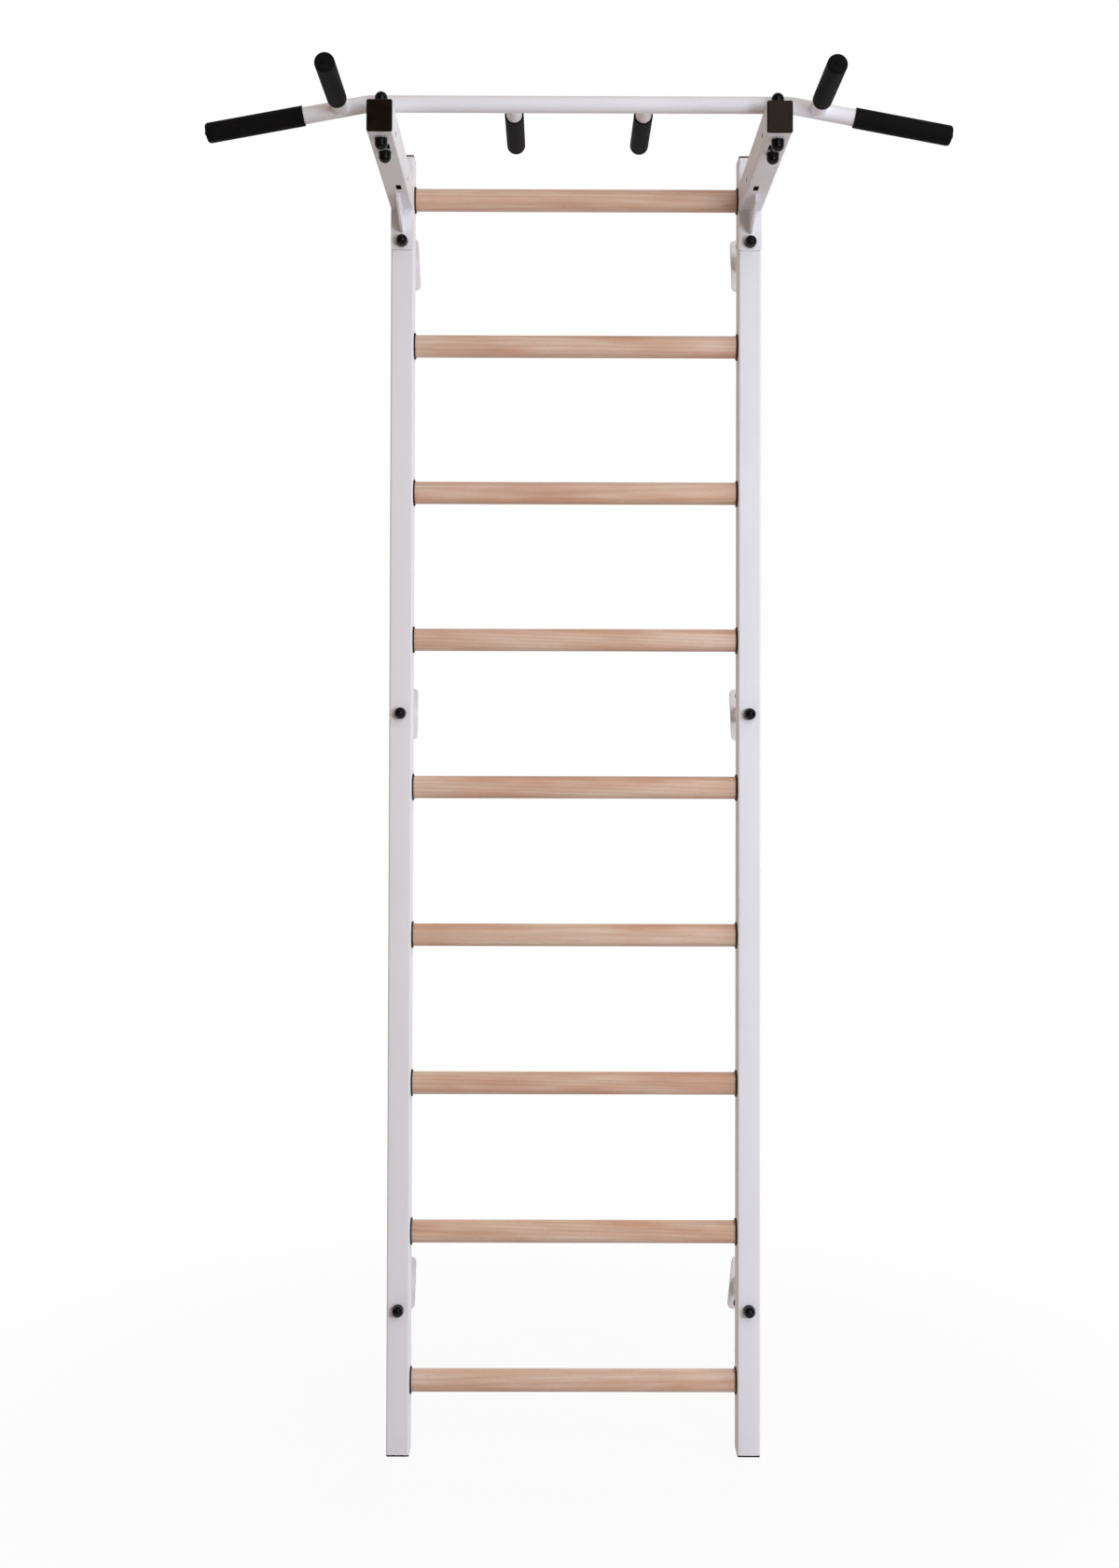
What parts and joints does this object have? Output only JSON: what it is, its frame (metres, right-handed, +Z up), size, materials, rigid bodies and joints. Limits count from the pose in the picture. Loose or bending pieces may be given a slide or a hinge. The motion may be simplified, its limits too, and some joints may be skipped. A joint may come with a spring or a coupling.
{
  "type": "swedish wall bars",
  "caption": "Wall-mounted climbing ladder: oval wooden rungs between white steel uprights on swivelling wall brackets, topped by a bent pull-up bar with black foam grips.",
  "frame": {"origin": "on the wall plane at floor level, midway between the uprights", "axes": "+X to the right as seen from the room, +Y into the wall, +Z up; the front of the ladder looks to -Y"},
  "size_m": [1.1776, 0.7303, 2.3],
  "materials": {
    "white_paint": "white satin powder coat",
    "beech": "pale beech under clear satin varnish",
    "black_plastic": "satin moulded plastic",
    "black_bolt": "steel bolt under a glossy black dome cap",
    "black_foam": "matt closed-cell foam"
  },
  "bodies": {
    "frame": {"left_upright": "white_paint", "right_upright": "white_paint", "left_top_cap": "black_plastic", "right_top_cap": "black_plastic", "left_foot_cap": "black_plastic", "right_foot_cap": "black_plastic", "rung_1": "beech", "rung_2": "beech", "rung_3": "beech", "rung_4": "beech", "rung_5": "beech", "rung_6": "beech", "rung_7": "beech", "rung_8": "beech", "rung_9": "beech", "left_collar_1": "black_plastic", "left_collar_2": "black_plastic", "left_collar_3": "black_plastic", "left_collar_4": "black_plastic", "left_collar_5": "black_plastic", "left_collar_6": "black_plastic", "left_collar_7": "black_plastic", "left_collar_8": "black_plastic", "left_collar_9": "black_plastic", "right_collar_1": "black_plastic", "right_collar_2": "black_plastic", "right_collar_3": "black_plastic", "right_collar_4": "black_plastic", "right_collar_5": "black_plastic", "right_collar_6": "black_plastic", "right_collar_7": "black_plastic", "right_collar_8": "black_plastic", "right_collar_9": "black_plastic", "wall_bolt_bottom_left": "black_bolt", "wall_bolt_bottom_right": "black_bolt", "wall_bolt_middle_left": "black_bolt", "wall_bolt_middle_right": "black_bolt", "wall_bolt_top_left": "black_bolt", "wall_bolt_top_right": "black_bolt", "left_arm": "white_paint", "right_arm": "white_paint", "left_arm_cap": "black_plastic", "right_arm_cap": "black_plastic", "pull_up_bar": "white_paint", "left_wing_grip": "black_foam", "right_wing_grip": "black_foam", "left_front_grip": "black_foam", "right_front_grip": "black_foam", "left_back_grip": "black_foam", "right_back_grip": "black_foam", "left_front_clamp_bolt": "black_bolt", "left_back_clamp_bolt": "black_bolt", "right_front_clamp_bolt": "black_bolt", "right_back_clamp_bolt": "black_bolt"},
    "bracket_bottom_left": {"wall_bracket_bottom_left": "white_paint"},
    "bracket_bottom_right": {"wall_bracket_bottom_right": "white_paint"},
    "bracket_middle_left": {"wall_bracket_middle_left": "white_paint"},
    "bracket_middle_right": {"wall_bracket_middle_right": "white_paint"},
    "bracket_top_left": {"wall_bracket_top_left": "white_paint"},
    "bracket_top_right": {"wall_bracket_top_right": "white_paint"}
  },
  "joints": [
    {"name": "bottom_left_swivel", "type": "hinge", "parent": "frame", "child": "bracket_bottom_left", "pos_m": [-0.309, -0.055, 0.25725], "axis": [0, 1, 0], "continuous": true},
    {"name": "bottom_right_swivel", "type": "hinge", "parent": "frame", "child": "bracket_bottom_right", "pos_m": [0.309, -0.055, 0.25725], "axis": [0, 1, 0], "continuous": true},
    {"name": "middle_left_swivel", "type": "hinge", "parent": "frame", "child": "bracket_middle_left", "pos_m": [-0.309, -0.055, 1.30725], "axis": [0, 1, 0], "continuous": true},
    {"name": "middle_right_swivel", "type": "hinge", "parent": "frame", "child": "bracket_middle_right", "pos_m": [0.309, -0.055, 1.30725], "axis": [0, 1, 0], "continuous": true},
    {"name": "top_left_swivel", "type": "hinge", "parent": "frame", "child": "bracket_top_left", "pos_m": [-0.309, -0.055, 2.144], "axis": [0, 1, 0], "continuous": true},
    {"name": "top_right_swivel", "type": "hinge", "parent": "frame", "child": "bracket_top_right", "pos_m": [0.309, -0.055, 2.144], "axis": [0, 1, 0], "continuous": true}
  ]
}
